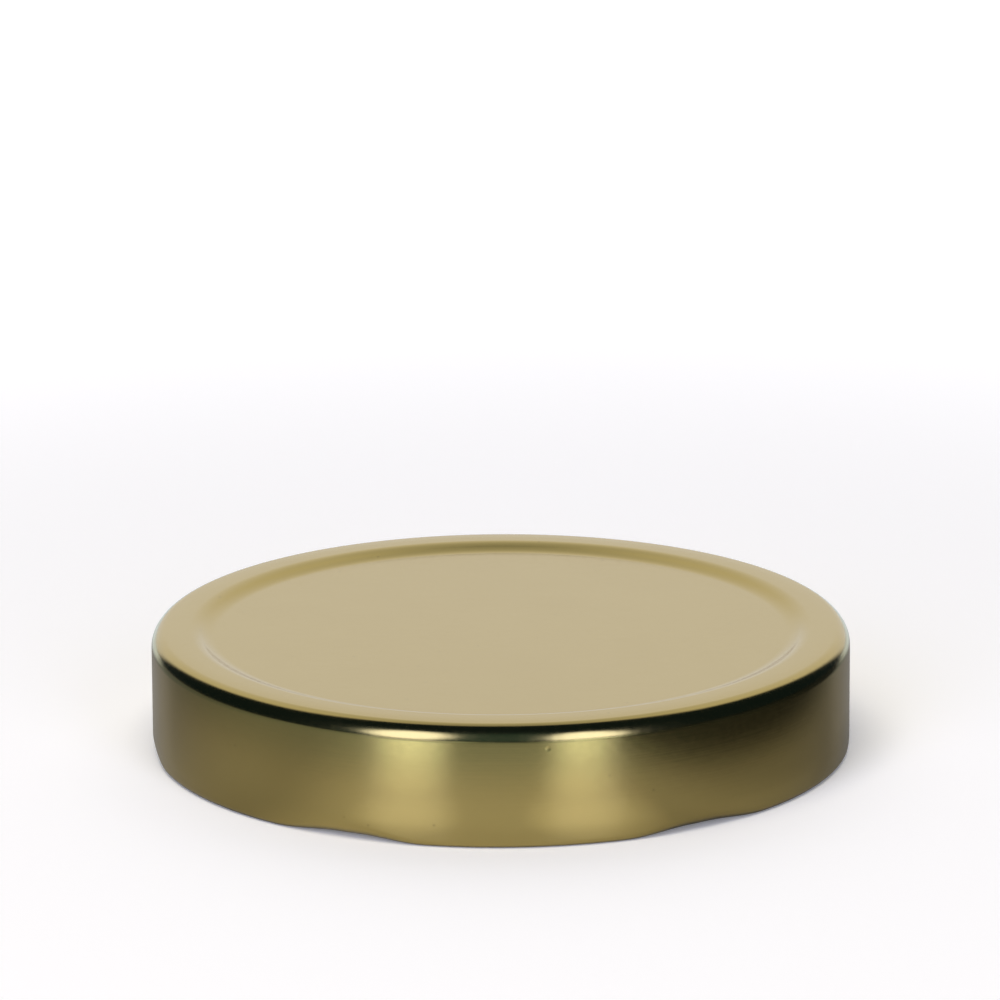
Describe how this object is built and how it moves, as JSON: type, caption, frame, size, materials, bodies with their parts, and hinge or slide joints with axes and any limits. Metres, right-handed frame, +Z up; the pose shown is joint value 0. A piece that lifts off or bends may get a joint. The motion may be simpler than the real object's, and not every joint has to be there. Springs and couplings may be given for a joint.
{
  "type": "twist-off jar lid",
  "caption": "Deep gold-lacquered twist-off jar lid with a recessed panel, rounded shoulder, plain skirt, rolled edge pressed into lugs, and a flowed-in sealing ring.",
  "frame": {"origin": "centre of the circle that the rolled edge stands on, at the lid's lowest point", "axes": "+Z up along the lid's axis, out of the panel; +X through the middle of a lug"},
  "size_m": [0.086, 0.086, 0.0152],
  "materials": {
    "gold_lacquered_tinplate": "satin gold lacquer over bright tinplate",
    "sealing_compound": "matte flowed-in plastisol"
  },
  "bodies": {
    "root": {"lid_shell": "gold_lacquered_tinplate", "sealing_ring": "sealing_compound"}
  },
  "joints": []
}
